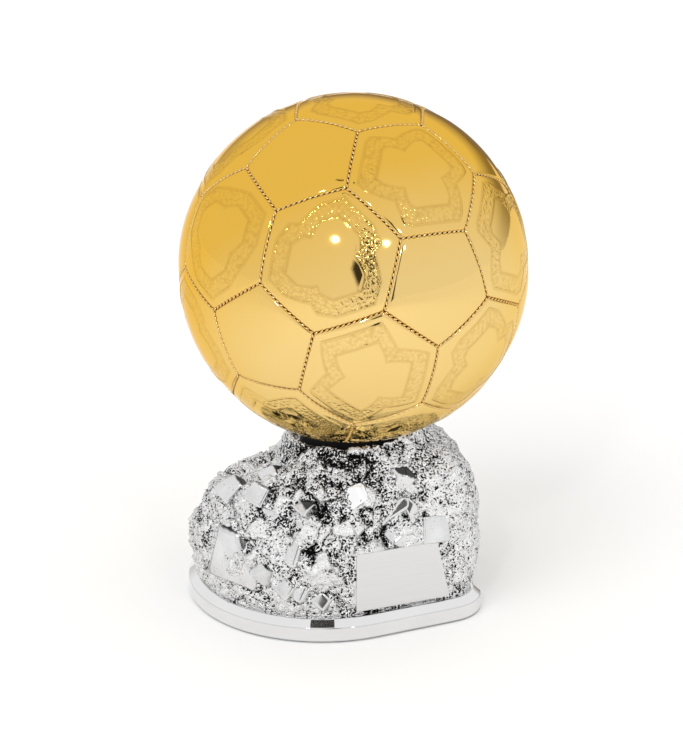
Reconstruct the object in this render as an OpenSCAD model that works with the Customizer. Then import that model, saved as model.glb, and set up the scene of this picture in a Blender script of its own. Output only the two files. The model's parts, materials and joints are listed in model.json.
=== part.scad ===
// Football trophy: a gilt ball with stitched panels, standing on a black collar
// on a cast silver rock, with a blank name plate and a polished plinth.
// Millimetres, +Z up. The origin is on the table, straight below the ball's centre,
// and the name plate faces -Y.

/* [Ball] */
// Outer diameter of the ball
ball_d = 210; // [204:1:216]
// Height of the ball's centre above the table
ball_z = 209; // [205:1:212]
// Thickness of the ball's metal
ball_wall = 2; // [1.5:0.1:3]
// Width of the seams between the panels
seam_w = 1.6; // [1:0.1:2.5]
// Depth of the seams between the panels
seam_deep = 1.1; // [0.6:0.1:1.3]
// Turn of the panel pattern about X, Y and Z, in degrees
ball_turn = [45, 37.5, -1.5]; // [-180:0.5:180]

/* [Rock] */
// Height of the flat seat for the collar
seat_z = 98; // [96:1:100]
// Height of the rock's right shoulder over its left one
shoulder_rise = 10; // [0:1:12]
// Largest swell of the rough surface, in or out
rough = 2.2; // [0:0.1:3]
// Points around the rock
rock_points = 96; // [48:4:108]

/* [Plinth] */
// Height of the plinth's top edge
plinth_z = 14; // [13:0.5:16]
// Height of the plinth's upright wall
wall_z = 9.8; // [8:0.1:11]
// Inward run of the bevel above the wall
bevel_in = 5; // [3:0.5:6]
// Gap under the plinth, where the felt stands proud
felt_gap = 0.8; // [0.4:0.1:1.2]

/* [Name plate] */
// Width at the foot
plate_foot_w = 61; // [50:1:64]
// Width at the top
plate_top_w = 52.5; // [45:0.5:60]
// Height of the plate
plate_h = 37.5; // [30:0.5:40]
// Thickness of the plate
plate_t = 1.5; // [1:0.1:2]

/* [Fixings] */
// Diameter of the tie rod
rod_d = 10; // [8:1:12]
// Radius of the steel ballast disc
ballast_r = 40; // [30:1:41]
// Thickness of the steel ballast disc
ballast_h = 20; // [10:1:24]

/* [Hidden] */
$fn = 72;

fit = 0.05;                 // radial clearance of parts that fit into one another
over = 1;                   // how far a cut runs past the face it leaves
ball_r = ball_d / 2;
ball_in_r = ball_r - ball_wall;
rod_r = rod_d / 2;

gold = [0.93, 0.74, 0.30];
silver = [0.82, 0.82, 0.83];
polished = [0.90, 0.90, 0.91];
black = [0.06, 0.06, 0.06];
steel = [0.62, 0.63, 0.65];
brass = [0.80, 0.65, 0.30];
felt_green = [0.10, 0.20, 0.14];

// Footprint: the plan is the band round three circles, each [x, y, radius].
corners = [[-17, 9, 83.5], [38, -46.5, 26], [38, 62, 28]];
middle = [-10, 9];

// Collar
collar_r = 33;              // at its foot
collar_top_r = 30.5;        // where it meets the ball
dowel_r = 2;
dowel_at = 18;              // distance of each dowel from the rod
dowel_h = 12;

// Boss in the ball
boss_r = 15;
boss_top = 134;
flange_r = 28;
flange_top = 114;
ring_h = 20;                // joining ring at the ball's equator
ring_t = 3;

// Rock
cavity_z = 44;              // top of the hollow under the rock
hollow_in = 24;             // the hollow's wall, in from the plan
insert_boss_r = 9;          // pillar left round each insert
insert_r = 4;
insert_h = 14;
screw_r = 2.5;
seat_r = 35.5;              // flat round seat under the collar
screw_holes = [[40, -41], [40, 59], [-60, 59], [-60, -41]];

// Name plate
plate_y = -69.5;            // its face
plate_z = 17;               // its foot
plate_left = -26;
glue_t = 0.5;
glue_in = 1.5;              // the glue stops short of the plate's edges

// Cover, felt and their screws
cover_in = 6;               // the cover's recess, in from the plinth's wall
felt_t = 1.5;
cover_t = 3;
cover_top = felt_t + cover_t;
slack = 0.3;                // the cover's gap all round
deck_hole_r = ballast_r + 4;
cover_screw_r = 1.5;
cover_holes = [[-76, 9], [52, 9], [-12, -58], [-12, 74]];

// Rod stack, from the hollow's roof down
ballast_z = cavity_z - ballast_h;
washer_t = 2;
lock_t = 2.2;
nut_h = 8.4;
nut_r = 9.8;                // across the corners, over two
washer_z = ballast_z - washer_t;
lock_z = washer_z - lock_t;
nut_z = lock_z - nut_h;
rod_foot = nut_z - 2.5;

// ---------- plan of the base ----------

// How far a tangent line of the plan, with its outward normal at angle a, lies from
// the middle: the corner circle that reaches farthest that way sets it.
function reach(a) = max([for (c = corners)
    (c[0] - middle[0]) * cos(a) + (c[1] - middle[1]) * sin(a) + c[2]]);
tangents = [for (a = [0 : 2 : 358]) [a, reach(a)]];
// The plan's radius in direction t is the nearest of the tangent lines that cross it.
// d moves the plan inwards.
function plan_radius(t, d) = min([for (k = tangents) if (cos(k[0] - t) > 0.2)
    (k[1] - d) / cos(k[0] - t)]);
function plan_point(t, d) = middle + plan_radius(t, d) * [cos(t), sin(t)];
plan_count = 96;
// The plan as points, the first of them at phase steps past the +X direction.
function plan(d, phase = 0) = [for (i = [0 : plan_count - 1])
    plan_point(360 * (i + phase) / plan_count, d)];

// Its corners fall half a step from those of a skin, so that no edges coincide.
module slab(d, low, high) {
    translate([0, 0, low]) linear_extrude(high - low) polygon(plan(d, 0.5));
}

// A closed skin over rings of equal length, from the lowest ring to the highest. Each
// end is a fan of triangles round the point over or under the plan's middle.
module skin(rings) {
    count = len(rings[0]);
    last = len(rings) - 1;
    foot = count * (last + 1);
    sides = [for (k = [0 : last - 1], i = [0 : count - 1])
        let (a = k * count + i, b = k * count + (i + 1) % count)
        each [[a, a + count, b], [b, a + count, b + count]]];
    ends = [for (i = [0 : count - 1]) let (j = (i + 1) % count)
        each [[i, j, foot], [last * count + j, last * count + i, foot + 1]]];
    polyhedron(
        concat([for (r = rings) each r],
            [[middle[0], middle[1], rings[0][0][2]], [0, 0, rings[last][0][2]]]),
        concat(sides, ends), convexity = 4);
}

// ---------- ball ----------

phi = (1 + sqrt(5)) / 2;
seeds = [[0, 1, 3 * phi], [1, 2 + phi, 2 * phi], [phi, 2, 2 * phi + 1]];
signs = [for (x = [-1, 1], y = [-1, 1], z = [-1, 1]) [x, y, z]];
// The 60 points where three panels meet: each seed with every sign, its numbers
// moved round in turn. A seed that holds a 0 would come twice, so half are skipped.
joints = [for (s = seeds, g = signs) if (s[0] > 0 || g[0] > 0)
    let (p = [s[0] * g[0], s[1] * g[1], s[2] * g[2]])
    each [p, [p[2], p[0], p[1]], [p[1], p[2], p[0]]]];
edge = 2;                   // distance between neighbouring points
seams = [for (i = [0 : len(joints) - 2], j = [i + 1 : len(joints) - 1])
    if (norm(joints[i] - joints[j]) < edge * 1.01) [joints[i], joints[j]]];

// One seam: a groove along the great circle between two points of the pattern.
module seam(ends) {
    a = ends[0] / norm(ends[0]);
    b = ends[1] / norm(ends[1]);
    pole = cross(a, b) / norm(cross(a, b));
    side = cross(pole, a);
    arc = acos(a * b);
    multmatrix([[a[0], side[0], pole[0], 0], [a[1], side[1], pole[1], 0],
        [a[2], side[2], pole[2], 0], [0, 0, 0, 1]])
        rotate_extrude(angle = arc)
            translate([ball_r - seam_deep, -seam_w / 2]) square([seam_deep + over, seam_w]);
}

module ball_half(top) {
    translate([0, 0, ball_z]) difference() {
        sphere(ball_r, $fn = 128);
        sphere(ball_in_r, $fn = 128);
        translate([-ball_d, -ball_d, top ? -2 * ball_d : 0]) cube(2 * ball_d);
        rotate(ball_turn) for (s = seams) seam(s);
        if (!top) translate([0, 0, -ball_d]) cylinder(r = rod_r + fit, h = ball_d);
    }
}

module ball_upper_shell() {
    color(gold) ball_half(true);
}

module ball_lower_shell() {
    color(gold) ball_half(false);
}

module ball_joining_ring() {
    color(brass) translate([0, 0, ball_z]) difference() {
        intersection() {
            sphere(ball_in_r - fit, $fn = 128);
            cylinder(r = ball_r, h = ring_h, center = true);
        }
        cylinder(r = ball_in_r - ring_t, h = ring_h + over, center = true);
    }
}

module ball_boss() {
    color(brass) difference() {
        intersection() {
            translate([0, 0, ball_z]) sphere(ball_in_r - fit, $fn = 128);
            union() {
                cylinder(r = flange_r, h = flange_top);
                cylinder(r = boss_r, h = boss_top);
            }
        }
        cylinder(r = rod_r + fit, h = boss_top - over);
    }
}

// ---------- collar and rod ----------

module collar_dowel_places() {
    for (x = [-dowel_at, dowel_at]) translate([x, 0, seat_z - dowel_h / 2]) children();
}

module seat_collar() {
    color(black) difference() {
        translate([0, 0, seat_z])
            cylinder(r1 = collar_r, r2 = collar_top_r, h = ball_z - ball_r - seat_z + 5);
        translate([0, 0, ball_z]) sphere(ball_r + fit, $fn = 128);
        cylinder(r = rod_r + fit, h = ball_z);
        collar_dowel_places() cylinder(r = dowel_r + fit, h = dowel_h);
    }
}

module collar_dowels() {
    color(steel) collar_dowel_places() cylinder(r = dowel_r, h = dowel_h - over / 2);
}

module tie_rod() {
    color(steel) translate([0, 0, rod_foot])
        cylinder(r = rod_r, h = boss_top - 2 * over - rod_foot);
}

// ---------- rock ----------

// The rock's outline from its foot up: [inward step from the plan, share of the way
// to the rod, share of the rock's height].
rock_rings = [
    [6, 0, 0], [4.5, 0, 0.06], [3, 0, 0.15], [2, 0, 0.26], [1.5, 0, 0.38],
    [4, 0, 0.5], [6, 0, 0.61], [8.5, 0, 0.72], [11.5, 0, 0.81], [16, 0, 0.9],
    [19, 0.1, 0.96], [19, 0.24, 1], [19, 0.4, 1.01], [19, 0.56, 1.01]
];
rock_rows = 24;
grain = 0.9;                // random roughness of the cast surface
grains = rands(-grain, grain, rock_points * rock_rows, 7);

function rock_ring(s) =
    let (k = s * (len(rock_rings) - 1), i = min(floor(k), len(rock_rings) - 2), f = k - i)
    rock_rings[i] * (1 - f) + rock_rings[i + 1] * f;
// Swells of the cast surface: three crossed waves, between -1 and 1 in all.
function swell(a, h) =
    (sin(5 * a + 260 * h) + sin(9 * a - 410 * h + 40) + sin(16 * a + 700 * h)) / 3;
// Share of a lean that faces direction b, felt in direction a.
function facing(a, b) = pow(max(0, cos(a - b)), 2);
// Extra inward step: the front leans back above the name plate, the back slopes most,
// and the right shoulder stands out.
function lean(a, h) = facing(a, 270) * (2 + 11 * max(0, h - 0.45))
    + facing(a, 115) * 46 * max(0, h - 0.3) - facing(a, -20) * 26 * max(0, h - 0.45);
function rock_point(i, row) =
    let (
        a = 360 * i / rock_points,
        ring = rock_ring(row / (rock_rows - 1)),
        h = ring[2],
        fade = min(1, 8 * h),
        bump = fade * (rough * swell(a, h) + grains[row * rock_points + i]),
        p = plan_point(a, ring[0] + lean(a, h) + bump) * (1 - ring[1]),
        top = seat_z + 1 + shoulder_rise / 2 * cos(a + 30) * h
    )
    [p[0], p[1], plinth_z + (top - plinth_z) * h + fade * (h > 0.9 ? bump : 0)];

// Crystals of the rock: [place, edge length, turn].
crystals = [
    [[-74, -23, 42], 30, [6, -8, 34]], [[-76, -45, 40], 14, [20, 30, 15]],
    [[-63, -53, 34], 14, [35, 10, 40]], [[-80, -5, 84], 14, [25, 35, 20]],
    [[-70, -27, 86], 14, [20, 25, 40]], [[-56, -15, 95], 12, [30, 20, 10]],
    [[-63, -39, 79], 15, [50, 15, 30]], [[-50, -48, 80], 12, [15, 40, 25]],
    [[-50, -51, 73], 13, [40, 30, 10]], [[-36, -31, 97], 9, [30, 40, 0]],
    [[-56, -51, 58], 19, [10, 20, 35]], [[-19, -54, 85], 14, [45, 20, 35]],
    [[10, -48, 91], 17, [30, 10, 25]], [[5, -58, 75], 16, [40, 25, 15]],
    [[3, -62, 61], 15, [30, 40, 10]], [[26, -60, 65], 18, [12, 8, 20]]
];

module plate_outline(step) {
    polygon([[step, step], [plate_foot_w - step, step],
        [plate_top_w - step, plate_h - step], [step, plate_h - step]]);
}

// A layer of the name plate's outline, from one depth behind its face to another.
module plate_layer(front, back, step = 0) {
    translate([plate_left, plate_y + back, plate_z]) rotate([90, 0, 0])
        linear_extrude(back - front) plate_outline(step);
}

// The hollow under the rock, round the pillars that hold the inserts.
module rock_hollow() {
    difference() {
        slab(hollow_in, 0, cavity_z);
        for (p = screw_holes) translate([p[0], p[1], -over])
            cylinder(r = insert_boss_r, h = cavity_z + 2 * over);
    }
}

module rock_casting() {
    color(silver) difference() {
        union() {
            skin([for (row = [0 : rock_rows - 1])
                [for (i = [0 : rock_points - 1]) rock_point(i, row)]]);
            for (c = crystals) translate(c[0]) rotate(c[2]) cube(c[1], center = true);
            translate([0, 0, cavity_z + over]) cylinder(r = seat_r, h = seat_z - cavity_z - over);
        }
        translate([0, 0, seat_z]) cylinder(r = collar_r + 1, h = 3 * rough + shoulder_rise + over);
        cylinder(r = rod_r + fit, h = ball_z);
        rock_hollow();
        collar_dowel_places() cylinder(r = dowel_r + fit, h = dowel_h);
        for (p = screw_holes) translate([p[0], p[1], plinth_z - over])
            cylinder(r = insert_r + fit, h = insert_h + over);
        plate_layer(-3 * rough - over, plate_t + glue_t);
    }
}

module rock_inserts() {
    color(brass) for (p = screw_holes) translate([p[0], p[1], plinth_z]) difference() {
        cylinder(r = insert_r, h = insert_h);
        translate([0, 0, -over]) cylinder(r = screw_r + fit, h = insert_h + 2 * over);
    }
}

module name_plate() {
    color(polished) plate_layer(0, plate_t);
}

module plate_adhesive() {
    color(black) plate_layer(plate_t, plate_t + glue_t, glue_in);
}

// ---------- under the rock ----------

module washer(outer, inner, low, high) {
    translate([0, 0, low]) difference() {
        cylinder(r = outer, h = high - low);
        translate([0, 0, -over]) cylinder(r = inner, h = high - low + 2 * over);
    }
}

module ballast_disc() {
    color(steel) washer(ballast_r, rod_r + fit, ballast_z, cavity_z);
}

module rod_flat_washer() {
    color(steel) washer(2 * rod_d - 5, rod_r + 2 * fit, washer_z, ballast_z);
}

module rod_lock_washer() {
    split_w = 1.2;
    color(steel) difference() {
        washer(rod_r + 4, rod_r + 2 * fit, lock_z, washer_z);
        translate([rod_r - over, -split_w / 2, lock_z - over]) cube([7, split_w, lock_t + 2 * over]);
    }
}

module rod_nut() {
    color(steel) translate([0, 0, nut_z]) difference() {
        cylinder(r = nut_r, h = nut_h, $fn = 6);
        translate([0, 0, -over]) cylinder(r = rod_r + fit, h = nut_h + 2 * over);
    }
}

// ---------- plinth ----------

head_r = 4.6;               // screw heads that hold the plinth to the rock
head_h = 2.6;
head_seat = 9;              // height of the face that the screw washers press on
screw_washer_t = 1;

module plinth() {
    foot_bevel = 0.8;
    color(polished) difference() {
        skin([for (r = [
                [foot_bevel, felt_gap], [0, felt_gap + foot_bevel],
                [0, wall_z], [bevel_in, plinth_z]
            ]) [for (p = plan(r[0])) [p[0], p[1], r[1]]]]);
        slab(cover_in, 0, cover_top);
        cylinder(r = deck_hole_r, h = plinth_z + over);
        for (p = screw_holes) translate([p[0], p[1], 0]) {
            cylinder(r = head_r + 1, h = head_seat);
            cylinder(r = screw_r + 0.25, h = plinth_z + over);
        }
        for (p = cover_holes) translate([p[0], p[1], 0])
            cylinder(r = cover_screw_r + fit, h = plinth_z - 2);
    }
}

module plinth_screws() {
    color(steel) for (p = screw_holes) translate([p[0], p[1], head_seat - screw_washer_t]) {
        translate([0, 0, -head_h]) cylinder(r = head_r - 0.6, h = head_h);
        cylinder(r = screw_r, h = plinth_z - head_seat + screw_washer_t + insert_h - 2);
    }
}

module plinth_screw_washers() {
    color(steel) for (p = screw_holes) translate([p[0], p[1], 0])
        washer(head_r + 0.6, screw_r + 2 * fit, head_seat - screw_washer_t, head_seat);
}

module base_cover() {
    color(black) difference() {
        slab(cover_in + slack, felt_t, cover_top);
        for (p = cover_holes) translate([p[0], p[1], 0]) {
            cylinder(r = cover_screw_r + fit, h = plinth_z);
            translate([0, 0, felt_t])
                cylinder(r1 = 2 * cover_screw_r + fit, r2 = cover_screw_r + fit, h = cover_screw_r);
        }
    }
}

module cover_screws() {
    color(steel) for (p = cover_holes) translate([p[0], p[1], felt_t]) {
        cylinder(r1 = 2 * cover_screw_r, r2 = cover_screw_r, h = cover_screw_r);
        cylinder(r = cover_screw_r, h = plinth_z - 2 - felt_t - over);
    }
}

module felt_pad() {
    color(felt_green) slab(cover_in + slack, 0, felt_t);
}

ball_upper_shell();
ball_lower_shell();
ball_joining_ring();
ball_boss();
seat_collar();
collar_dowels();
tie_rod();
rock_casting();
rock_inserts();
name_plate();
plate_adhesive();
ballast_disc();
rod_flat_washer();
rod_lock_washer();
rod_nut();
plinth();
plinth_screws();
plinth_screw_washers();
base_cover();
cover_screws();
felt_pad();
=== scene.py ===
# %% [markdown]
# # A football trophy
# A gilt football stands on a black collar, on a rock cast in bright metal, with a blank
# name plate and a polished plinth. The ball mirrors the room, so its look is made by three
# things: panels that swell between deep seams, stitches that catch the light, and a studio
# with pale and dark places in it. The rock is the opposite: thousands of small facets and
# black hollows. This lesson loads the fixed frame, then builds each visible piece as a
# surface worked out with numpy.

# %% Load the frame
import json
import math

import bpy
import numpy as np
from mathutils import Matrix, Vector

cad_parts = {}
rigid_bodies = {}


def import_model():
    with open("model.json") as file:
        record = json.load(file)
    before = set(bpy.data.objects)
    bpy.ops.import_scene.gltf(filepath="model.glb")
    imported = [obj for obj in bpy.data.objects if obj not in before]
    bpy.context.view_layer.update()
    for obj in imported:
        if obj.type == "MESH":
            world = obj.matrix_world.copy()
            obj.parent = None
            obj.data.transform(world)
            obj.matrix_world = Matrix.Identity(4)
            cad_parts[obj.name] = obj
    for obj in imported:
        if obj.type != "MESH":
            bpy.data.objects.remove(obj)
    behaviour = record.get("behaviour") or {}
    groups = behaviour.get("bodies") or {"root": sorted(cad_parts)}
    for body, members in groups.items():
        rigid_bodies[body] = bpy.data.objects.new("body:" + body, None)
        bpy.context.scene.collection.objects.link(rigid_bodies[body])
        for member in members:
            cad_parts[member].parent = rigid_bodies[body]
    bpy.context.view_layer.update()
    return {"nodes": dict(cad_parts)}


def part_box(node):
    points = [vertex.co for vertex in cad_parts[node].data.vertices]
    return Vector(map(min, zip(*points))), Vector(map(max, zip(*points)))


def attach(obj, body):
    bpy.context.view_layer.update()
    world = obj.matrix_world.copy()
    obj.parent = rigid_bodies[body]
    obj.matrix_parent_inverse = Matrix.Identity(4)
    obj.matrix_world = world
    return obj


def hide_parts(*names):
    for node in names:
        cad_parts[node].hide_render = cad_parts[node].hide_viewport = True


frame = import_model()
MM = 0.001

# %% [markdown]
# ## Driving sizes
# Each size comes from the frame: the ball's middle and radius from the two shells, the
# plinth's wall and top from the plinth, the seat from the collar. Shapes are worked out in
# millimetres and scaled once, when a mesh is made.

# %% Sizes from the frame, in millimetres
def box_mm(node):
    """The lowest and highest corners of a frame node, in millimetres."""
    low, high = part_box(node)
    return np.array(low) / MM, np.array(high) / MM


BALL_TOP = box_mm("ball_upper_shell")[1][2]
BALL_FOOT = box_mm("ball_lower_shell")[0][2]
BALL_R = (BALL_TOP - BALL_FOOT) / 2
BALL_Z = (BALL_TOP + BALL_FOOT) / 2
SEAT_Z = box_mm("seat_collar")[0][2]
plinth_low, plinth_high = box_mm("plinth")
plate_low, plate_high = box_mm("name_plate")
PLINTH_Z = plinth_high[2]
print(f"ball radius {BALL_R:.1f} mm, its middle {BALL_Z:.1f} mm up")

# %% [markdown]
# ## Meshes from whole arrays
# A surface is a grid of points. Its faces are index arithmetic on the grid, and
# `foreach_set` hands both to Blender in one call, with no loop over vertices.

# %% Mesh helpers
def grid_faces(rows, columns, wrap=False):
    """Quads of a grid of points, row after row. With wrap, the last column joins the first."""
    r = np.arange(rows - 1)[:, None]
    c = np.arange(columns if wrap else columns - 1)[None, :]
    nxt = (c + 1) % columns
    low, high = r * columns, (r + 1) * columns
    return np.stack([low + c, low + nxt, high + nxt, high + c], axis=-1).reshape(-1, 4)


def fan_faces(ring, centre, flip=False):
    """Triangles from each side of a closed ring of point indices to one centre point."""
    nxt = np.roll(ring, -1)
    fan = np.stack([ring, nxt, np.full(len(ring), centre)], axis=-1)
    return fan[:, ::-1] if flip else fan


def closed_faces(rows, columns):
    """Faces of a grid that wraps round, closed at each end by a fan. The two points that the
    fans meet in come right after the grid, the first row's one first."""
    ring = np.arange(columns)
    return [grid_faces(rows, columns, wrap=True),
            fan_faces(ring, rows * columns, flip=True),
            fan_faces(ring + (rows - 1) * columns, rows * columns + 1)]


def make_piece(name, points, faces, material, body="root", values=None):
    """A mesh object at the origin, from points in millimetres and a list of face arrays.

    values holds numbers per point, by name, which a material can read as attributes. A
    piece without a body is part of the studio.
    """
    mesh = bpy.data.meshes.new(name)
    mesh.vertices.add(len(points))
    mesh.vertices.foreach_set("co", (np.asarray(points) * MM).astype(np.float32).ravel())
    corners = np.concatenate([f.ravel() for f in faces])
    sizes = np.concatenate([np.full(len(f), f.shape[1]) for f in faces])
    mesh.loops.add(len(corners))
    mesh.loops.foreach_set("vertex_index", corners.astype(np.int32))
    mesh.polygons.add(len(sizes))
    mesh.polygons.foreach_set("loop_start", (np.cumsum(sizes) - sizes).astype(np.int32))
    mesh.update(calc_edges=True)
    mesh.polygons.foreach_set("use_smooth", np.full(len(sizes), True))
    for key, numbers in (values or {}).items():
        layer = mesh.attributes.new(key, "FLOAT", "POINT")
        layer.data.foreach_set("value", np.asarray(numbers, np.float32))
    mesh.validate()
    mesh.materials.append(material)
    piece = bpy.data.objects.new(name, mesh)
    bpy.context.scene.collection.objects.link(piece)
    if body:
        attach(piece, body)
    return piece


def unit(vectors):
    """The same vectors with length 1."""
    return vectors / np.linalg.norm(vectors, axis=-1, keepdims=True)


def turn_matrix(degrees):
    """Rotation matrix that turns about X, then Y, then Z, by three angles in degrees."""
    x, y, z = np.radians(degrees)
    about_x = [[1, 0, 0], [0, math.cos(x), -math.sin(x)], [0, math.sin(x), math.cos(x)]]
    about_y = [[math.cos(y), 0, math.sin(y)], [0, 1, 0], [-math.sin(y), 0, math.cos(y)]]
    about_z = [[math.cos(z), -math.sin(z), 0], [math.sin(z), math.cos(z), 0], [0, 0, 1]]
    return np.array(about_z) @ np.array(about_y) @ np.array(about_x)


def smoothstep(low, high, x):
    """0 below low, 1 above high, and the cubic 3t^2 - 2t^3 between them."""
    t = np.clip((x - low) / (high - low), 0, 1)
    return t * t * (3 - 2 * t)

# %% [markdown]
# ## Shader maths as expressions
# A shader is wired from small nodes. One class wraps a socket and overloads the operators,
# so that `1 - mask * 0.4` adds its Math nodes by itself.

# %% Shader helpers
class Socket:
    """A value in a material's node tree. Operators on it add Math nodes."""

    def __init__(self, tree, output):
        self.tree, self.output = tree, output

    def math(self, operation, *others):
        """A Math node on this value and the others."""
        return self.node("ShaderNodeMath", {"operation": operation}, [self, *others])

    def node(self, kind, settings=None, inputs=(), output=0):
        """Any node: its settings first, then its sockets, given by place or by name."""
        made = self.tree.nodes.new(kind)
        for key, value in (settings or {}).items():
            setattr(made, key, value)
        pairs = inputs.items() if isinstance(inputs, dict) else enumerate(inputs)
        for key, value in pairs:
            if isinstance(value, Socket):
                self.tree.links.new(value.output, made.inputs[key])
            elif value is not None:
                made.inputs[key].default_value = value
        return Socket(self.tree, made.outputs[output])

    def __add__(self, other):
        return self.math("ADD", other)

    def __sub__(self, other):
        return self.math("SUBTRACT", other)

    def __rsub__(self, other):
        return (self * -1).math("ADD", other)

    def __mul__(self, other):
        return self.math("MULTIPLY", other)

    __radd__ = __add__
    __rmul__ = __mul__

    def between(self, low, high):
        """0 below low, 1 above high, and a straight ramp between them."""
        settings = {"clamp": True}
        inputs = {"Value": self, "From Min": low, "From Max": high}
        return self.node("ShaderNodeMapRange", settings, inputs)

    def blend(self, a, b):
        """Colour a where this value is 0, colour b where it is 1."""
        colours = [c if isinstance(c, Socket) else (*c, 1) for c in (a, b)]
        inputs = {"Factor": self, 6: colours[0], 7: colours[1]}
        return self.node("ShaderNodeMix", {"data_type": "RGBA"}, inputs, output=2)


class Finish:
    """A material with one Principled shader, filled in by socket name."""

    def __init__(self, name, **plain):
        self.material = bpy.data.materials.new(name)
        self.material.use_nodes = True
        self.tree = self.material.node_tree
        self.shader = self.tree.nodes["Principled BSDF"]
        self.place = self.read("ShaderNodeTexCoord", output="Object")
        for key, value in plain.items():
            self.set(key.replace("_", " "), value)

    def read(self, kind, settings=None, inputs=(), output=0):
        """A first node, such as a coordinate or an attribute."""
        return Socket(self.tree, None).node(kind, settings, inputs, output)

    def set(self, name, value):
        """Sets a Principled socket by name, to a number, a colour or a Socket."""
        socket = self.shader.inputs[name]
        if isinstance(value, Socket):
            self.tree.links.new(value.output, socket)
        elif isinstance(value, tuple) and len(value) == 3:
            socket.default_value = (*value, 1)
        else:
            socket.default_value = value

    def mapped(self, scale):
        """Object coordinates with a pattern stretched by scale along X, Y and Z."""
        return self.read("ShaderNodeMapping", None, {"Vector": self.place, "Scale": scale})

    def noise(self, scale, detail=3.0, place=None):
        """Noise of about 0 to 1, with scale features a metre."""
        inputs = {"Vector": place or self.place, "Scale": scale, "Detail": detail}
        return self.read("ShaderNodeTexNoise", None, inputs, "Fac")

    def cells(self, scale):
        """Distance to the nearest of scattered seeds, scale of them a metre, with the ridges
        between their cells smoothed."""
        inputs = {"Vector": self.place, "Scale": scale}
        return self.read("ShaderNodeTexVoronoi", {"feature": "SMOOTH_F1"}, inputs, "Distance")

    def value(self, name):
        """A number stored on the mesh under this name."""
        return self.read("ShaderNodeAttribute", {"attribute_name": name}, output="Fac")

    def bump(self, height, depth_mm):
        """Feeds Normal from a height of 0 to 1 that stands for depth_mm."""
        inputs = {"Height": height, "Distance": depth_mm * MM}
        self.set("Normal", self.read("ShaderNodeBump", None, inputs))

# %% [markdown]
# ## Finishes
# Gold plate takes its colour from its mirror. Its tone is painted lighter low in front, a
# painted sheen for the bright front and floor that it mirrors there, with a faint random
# drift, and fine ripples keep long reflections from being ruler-straight. The pebbled bands
# of the hexagons are a bump of round cells, switched on by a number on the mesh, and painted
# shade darkens the gaps between pebbles and the flanks of the raised lines.

# %% Gold
DEEP_GOLD = (0.80, 0.475, 0.070)
# The lighter gold below is painted sheen, for the low front where the bright floor is mirrored.
PAINTED_SHEEN_GOLD = (0.84, 0.600, 0.225)
# The darker gold below is painted shade, for the gaps between pebbles and the flanks of the lines.
PEBBLE_SHADE_GOLD = (0.42, 0.22, 0.025)
PEBBLES = 560           # the band's pebbles, a metre


def gold_finish():
    """Mirror gold, lighter low in front as a painted sheen, with a faint random drift of
    tone. Painted shade darkens the gaps between pebbles and the flanks of the raised lines."""
    gold = Finish("mirror_gold", Metallic=1.0, Specular_Tint=(0.97, 0.82, 0.52))
    x, y, z = (gold.read("ShaderNodeSeparateXYZ", None, [gold.place], output=k) for k in range(3))
    forward = x - y * 6.5 - (z - BALL_Z * MM) * 6.0
    # Painted sheen: the gold is painted lighter towards the low front, with a little random drift.
    painted_sheen = (forward + gold.noise(14, 2.0) * 0.2).between(0.0, 0.62)
    tone = painted_sheen.blend(DEEP_GOLD, PAINTED_SHEEN_GOLD)
    pebbled, flank = gold.value("pebbled"), gold.value("flank")
    gaps = gold.cells(PEBBLES).between(0.25, 0.75)
    # Painted shade in the gaps between pebbles and on the flanks of the raised lines.
    painted_shading = (gaps * pebbled * 0.30 + flank * 0.30).between(0, 1)
    gold.set("Base Color", painted_shading.blend(tone, PEBBLE_SHADE_GOLD))
    gold.set("Roughness", 0.04 + gold.noise(60, 4.0) * 0.03 + pebbled * 0.05)
    gold.bump((1 - gaps) * pebbled + gold.noise(900, 2.0) * 0.03, 0.22)
    return gold.material


gold = gold_finish()

# %% [markdown]
# The rock is plated bright and then antiqued: black wash stays in the hollows and is wiped
# off what stands proud. The mesh carries how hollow each point is, plus painted shadow under
# the ball and round the collar, and fine noise breaks the edge of the wash.

# %% Silvered rock
DULL_SILVER = (0.75, 0.75, 0.75)
BRIGHT_SILVER = (0.90, 0.90, 0.90)
# Black for the real wash in the hollows and for the painted shadow under the ball.
BLACK_WASH_AND_SHADE = (0.008, 0.008, 0.008)


def rock_finish():
    """Bright cast metal with fine pits, black in the hollows and in painted shadow under the ball.
    """
    rock = Finish("silvered_rock", Metallic=1.0)
    hollow = rock.value("hollow")
    speck = rock.noise(820, 2.0)
    grit = rock.noise(2400, 2.0)
    # The mask is the black wash in low places, with painted shadow under the ball added.
    wash_and_shade_mask = (hollow + (speck - 0.5) * 2.1).between(0.70, 0.75)
    tone = rock.noise(150).between(0.3, 0.7).blend(DULL_SILVER, BRIGHT_SILVER)
    rock.set("Base Color", wash_and_shade_mask.blend(tone, BLACK_WASH_AND_SHADE))
    rock.set("Roughness", 0.20 + wash_and_shade_mask * 0.35)
    height = 1 - speck * 1.2 + grit * 0.35 - rock.cells(600) * 0.3
    rock.bump(height, 0.7)
    return rock.material


rock_metal = rock_finish()

# %% [markdown]
# A crystal is polished where a wheel reaches, so its tone is cloudy and hardly pitted. The
# plinth is a true mirror with a breath of haze, with painted shade along its rounded edges.
# The plate is brushed along its width, which is noise drawn out one way. What is out of sight
# gets a plain finish of its own metal.

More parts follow.
